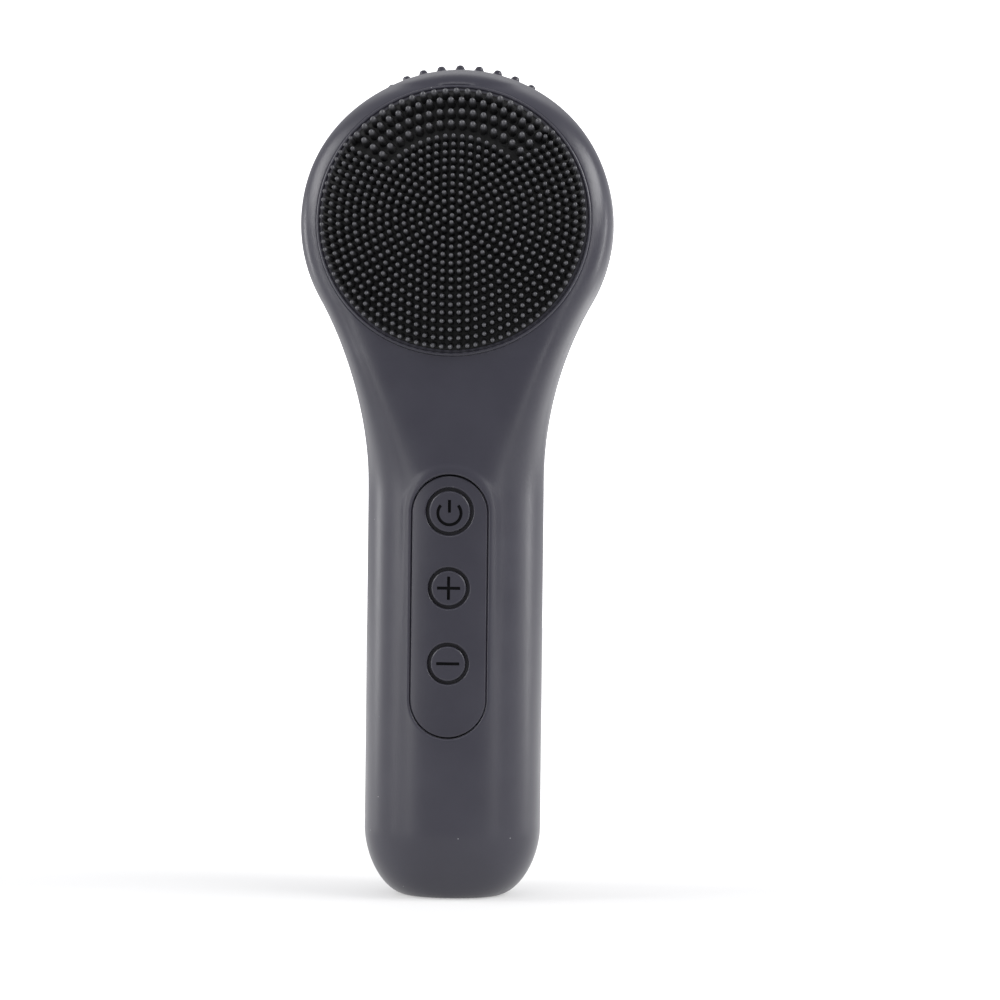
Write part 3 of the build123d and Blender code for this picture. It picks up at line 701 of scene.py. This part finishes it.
def soft_skin(name, dark, light, roughness, sheen, dust=None):
    """Silicone or soft-touch plastic: fine grain, soft patches of polish and a little dust."""
    material, tree, shader, place = new_material(name)
    colour = blend_colours(tree, spread(tree, noise(tree, place, 0.012), 0, 1, 0.3, 0.7), dark, light)
    if dust:
        specks = tree.nodes.new("ShaderNodeTexVoronoi")
        specks.inputs["Scale"].default_value = 1 / DUST_SPACING
        link(tree, place, specks.inputs["Vector"])
        near = spread(tree, specks.outputs["Distance"], 1, 0, 0.012, 0.03)
        colour = blend_colours(tree, near, colour, dust)
    link(tree, colour, shader.inputs["Base Color"])
    patches = spread(tree, noise(tree, place, 0.006), roughness - 0.02, roughness + 0.02, 0.3, 0.7)
    link(tree, patches, shader.inputs["Roughness"])
    shader.inputs["Sheen Weight"].default_value = sheen
    shader.inputs["Sheen Roughness"].default_value = 0.45
    bump(tree, shader, noise(tree, place, SKIN_GRAIN, 2.0), SKIN_GRAIN_DEPTH)
    return material


def nub_skin(name):
    """Silicone nubs: near-black and dull between them as painted shade, polished and a little paler at the
    tips as painted light.
    """
    material, tree, shader, place = new_material(name)
    painted_light_share = tree.nodes.new("ShaderNodeAttribute")
    painted_light_share.attribute_name = "painted_light_share"
    share = painted_light_share.outputs["Fac"]
    patches = blend_colours(tree, noise(tree, place, 0.003), (0.046, 0.046, 0.052), (0.072, 0.072, 0.08))
    # Painted shade and light: near-black on the membrane between the nubs where shade falls, paler at the
    # tips where light falls.
    link(tree, blend_colours(tree, share, (0.003, 0.003, 0.0035), patches), shader.inputs["Base Color"])
    link(tree, spread(tree, share, 0.75, 0.33), shader.inputs["Roughness"])
    shader.inputs["Specular IOR Level"].default_value = 0.5
    bump(tree, shader, noise(tree, place, 0.0002, 2.0), 0.000001)
    return material


def plain_part(name, colour, roughness, metallic=0.0, specular=0.5):
    """Metal, plastic or rubber of an inner part, with a light grain."""
    material, tree, shader, place = new_material(name)
    darker = tuple(0.8 * channel for channel in colour)
    link(tree, blend_colours(tree, noise(tree, place, 0.004), darker, colour), shader.inputs["Base Color"])
    wear = spread(tree, noise(tree, place, 0.001), roughness - 0.06, roughness + 0.06)
    link(tree, wear, shader.inputs["Roughness"])
    shader.inputs["Metallic"].default_value = metallic
    shader.inputs["Specular IOR Level"].default_value = specular
    bump(tree, shader, noise(tree, place, 0.0003, 2.0), 0.000004)
    return material


def clear_part(name):
    """Clear moulded plastic."""
    material, tree, shader, place = new_material(name)
    shader.inputs["Base Color"].default_value = (0.9, 0.92, 0.92, 1.0)
    shader.inputs["Transmission Weight"].default_value = 0.9
    link(tree, spread(tree, noise(tree, place, 0.001), 0.12, 0.22), shader.inputs["Roughness"])
    bump(tree, shader, noise(tree, place, 0.0005, 2.0), 0.000002)
    return material


def make_materials():
    """A material for each of the record's slots."""
    lint = (0.35, 0.35, 0.36)
    skin_colours = (0.025, 0.024, 0.036), (0.030, 0.029, 0.042)
    panel_colours = (0.024, 0.023, 0.034), (0.029, 0.028, 0.040)
    return {
        "silicone": soft_skin("silicone", *skin_colours, 0.34, 0.08, dust=lint),
        "nubs": nub_skin("nubs"),
        "panel": soft_skin("panel", *panel_colours, 0.32, 0.02, dust=lint),
        "buttons": soft_skin("buttons", *panel_colours, 0.32, 0.02),
        "icons": plain_part("icons", (0.004, 0.004, 0.005), 0.7, specular=0.1),
        "shell_plastic": plain_part("shell_plastic", (0.03, 0.03, 0.032), 0.5),
        "seal_rubber": plain_part("seal_rubber", (0.05, 0.05, 0.05), 0.7),
        "clear_plastic": clear_part("clear_plastic"),
        "circuit": plain_part("circuit", (0.01, 0.09, 0.03), 0.3),
        "chip": plain_part("chip", (0.012, 0.012, 0.013), 0.5),
        "ceramic_cap": plain_part("ceramic_cap", (0.35, 0.22, 0.1), 0.6),
        "steel": plain_part("steel", (0.55, 0.55, 0.56), 0.3, 1.0),
        "gold_contact": plain_part("gold_contact", (0.83, 0.6, 0.25), 0.25, 1.0),
        "magnet": plain_part("magnet", (0.6, 0.6, 0.62), 0.2, 1.0),
        "bronze": plain_part("bronze", (0.5, 0.33, 0.16), 0.45, 1.0),
        "iron": plain_part("iron", (0.22, 0.22, 0.23), 0.5, 1.0),
        "weight": plain_part("weight", (0.35, 0.35, 0.37), 0.4, 1.0),
        "wrap": plain_part("wrap", (0.03, 0.1, 0.35), 0.3),
        "wire": plain_part("wire", (0.45, 0.02, 0.02), 0.4),
        "connector": plain_part("connector", (0.75, 0.72, 0.65), 0.5),
    }


def paint(thing, material):
    """Give an object one material."""
    thing.data.materials.clear()
    thing.data.materials.append(material)


# ---- The object ----
sleeve = build_sleeve(SPACING)
pad = build_pad()
materials = make_materials()
for part in frame["record"]["subparts"]:
    paint(nodes[part["node"]], materials[part["material_slot"]])
paint(sleeve, materials["silicone"])
paint(pad, materials["nubs"])


# ---- Stage, camera and light ----
CAMERA_DISTANCE = 0.62
CAMERA_HEIGHT = 0.0763
CAMERA_AROUND = math.radians(3.8)
CAMERA_ASIDE = 0.0085
CAMERA_ROLL = math.radians(0.65)
LENS_LENGTH = 115
SENSOR_WIDTH = 36
LIGHTS_AIM_HEIGHT = 0.09


def glowing(name, grey, strength):
    """A dull grey that also glows, with its tree, its shader and the place on it."""
    material, tree, shader, place = new_material(name)
    shader.inputs["Base Color"].default_value = (grey, grey, grey, 1.0)
    shader.inputs["Emission Color"].default_value = (grey, grey, grey, 1.0)
    shader.inputs["Emission Strength"].default_value = strength
    shader.inputs["Roughness"].default_value = 0.9
    return material, tree, shader, place


def floor_material():
    """A pale floor that grows brighter away from the object, up to the white of the backdrop."""
    material, tree, shader, place = glowing("floor", FLOOR_GREY, FLOOR_GLOW_NEAR)
    axes = tree.nodes.new("ShaderNodeSeparateXYZ")
    link(tree, place, axes.inputs["Vector"])
    glow = spread(tree, axes.outputs["Y"], FLOOR_GLOW_NEAR, FLOOR_GLOW_FAR, 0.0, FLOOR_GLOW_END)
    link(tree, glow, shader.inputs["Emission Strength"])
    return material


def make_sheet(name, corners, material):
    """A flat four-cornered sheet of the stage."""
    mesh = bpy.data.meshes.new(name)
    mesh.from_pydata(corners, [], [(0, 1, 2, 3)])
    sheet = bpy.data.objects.new(name, mesh)
    bpy.context.scene.collection.objects.link(sheet)
    paint(sheet, material)


def soft_box(name, around, distance, height, size, power):
    """A rectangular light at an angle round the object, counted from the front towards +X."""
    lamp = bpy.data.lights.new(name, "AREA")
    lamp.shape = "RECTANGLE"
    lamp.size, lamp.size_y = size
    lamp.energy = power
    box = bpy.data.objects.new(name, lamp)
    angle = math.radians(around)
    box.location = (distance * math.sin(angle), -distance * math.cos(angle), height)
    aim = Vector((0, 0, LIGHTS_AIM_HEIGHT)) - box.location
    box.rotation_euler = aim.to_track_quat("-Z", "Y").to_euler()
    bpy.context.scene.collection.objects.link(box)


FLOOR = [(-0.9, -0.16, 0), (0.9, -0.16, 0), (0.9, 1.3, 0), (-0.9, 1.3, 0)]
FLOOR_GREY = 0.45
FLOOR_GLOW_NEAR = 0.97
FLOOR_GLOW_FAR = 2.0
FLOOR_GLOW_END = 0.25
BACKDROP = [(-1.1, 4, -0.8), (0.6, 4, -0.8), (0.6, 4, 0.9), (-1.1, 4, 0.9)]
make_sheet("floor", FLOOR, floor_material())
make_sheet("backdrop", BACKDROP, glowing("backdrop", 1.0, 1.2)[0])

lens = bpy.data.cameras.new("camera")
lens.lens = LENS_LENGTH
lens.sensor_width = SENSOR_WIDTH
camera = bpy.data.objects.new("camera", lens)
bpy.context.scene.collection.objects.link(camera)
side = Vector((math.cos(CAMERA_AROUND), math.sin(CAMERA_AROUND), 0))
back = Vector((math.sin(CAMERA_AROUND), -math.cos(CAMERA_AROUND), 0))
camera.matrix_world = (
    Matrix.Translation(CAMERA_DISTANCE * back + CAMERA_ASIDE * side + Vector((0, 0, CAMERA_HEIGHT)))
    @ Matrix.Rotation(CAMERA_AROUND, 4, "Z") @ Matrix.Rotation(math.pi / 2, 4, "X")
    @ Matrix.Rotation(CAMERA_ROLL, 4, "Z")
)
bpy.context.scene.camera = camera

world = bpy.data.worlds.new("world")
world.use_nodes = True
surround = world.node_tree.nodes["Background"]
surround.inputs["Color"].default_value = (0.5, 0.5, 0.52, 1.0)
surround.inputs["Strength"].default_value = 1.05
bpy.context.scene.world = world
bpy.context.scene.view_settings.view_transform = "Standard"

# Each light: degrees round from the front, distance, height, size and power
LIGHTS = {
    "left_front": (-45, 0.7, 0.08, (0.09, 0.4), 0.63),
    "left_side": (-67, 0.7, 0.14, (0.08, 0.7), 1.2),
    "left_back": (-110, 0.7, 0.08, (0.09, 0.4), 1.05),
    "right_front": (50, 0.7, 0.14, (0.07, 0.7), 0.75),
    "right_side": (95, 0.7, 0.08, (0.09, 0.4), 0.22),
    "right_back": (112, 0.7, 0.08, (0.09, 0.4), 1.0),
    "upper_left": (-75, 0.65, 0.5, (0.45, 0.35), 2.6),
    "upper_right": (75, 0.65, 0.5, (0.45, 0.35), 4.2),
    "tips": (-5, 0.6, 0.6, (0.3, 0.2), 0.6),
    "top_back": (180, 0.5, 0.7, (0.6, 0.3), 0.4),
}
for name, (around, distance, height, size, power) in LIGHTS.items():
    soft_box(name, around, distance, height, size, power)
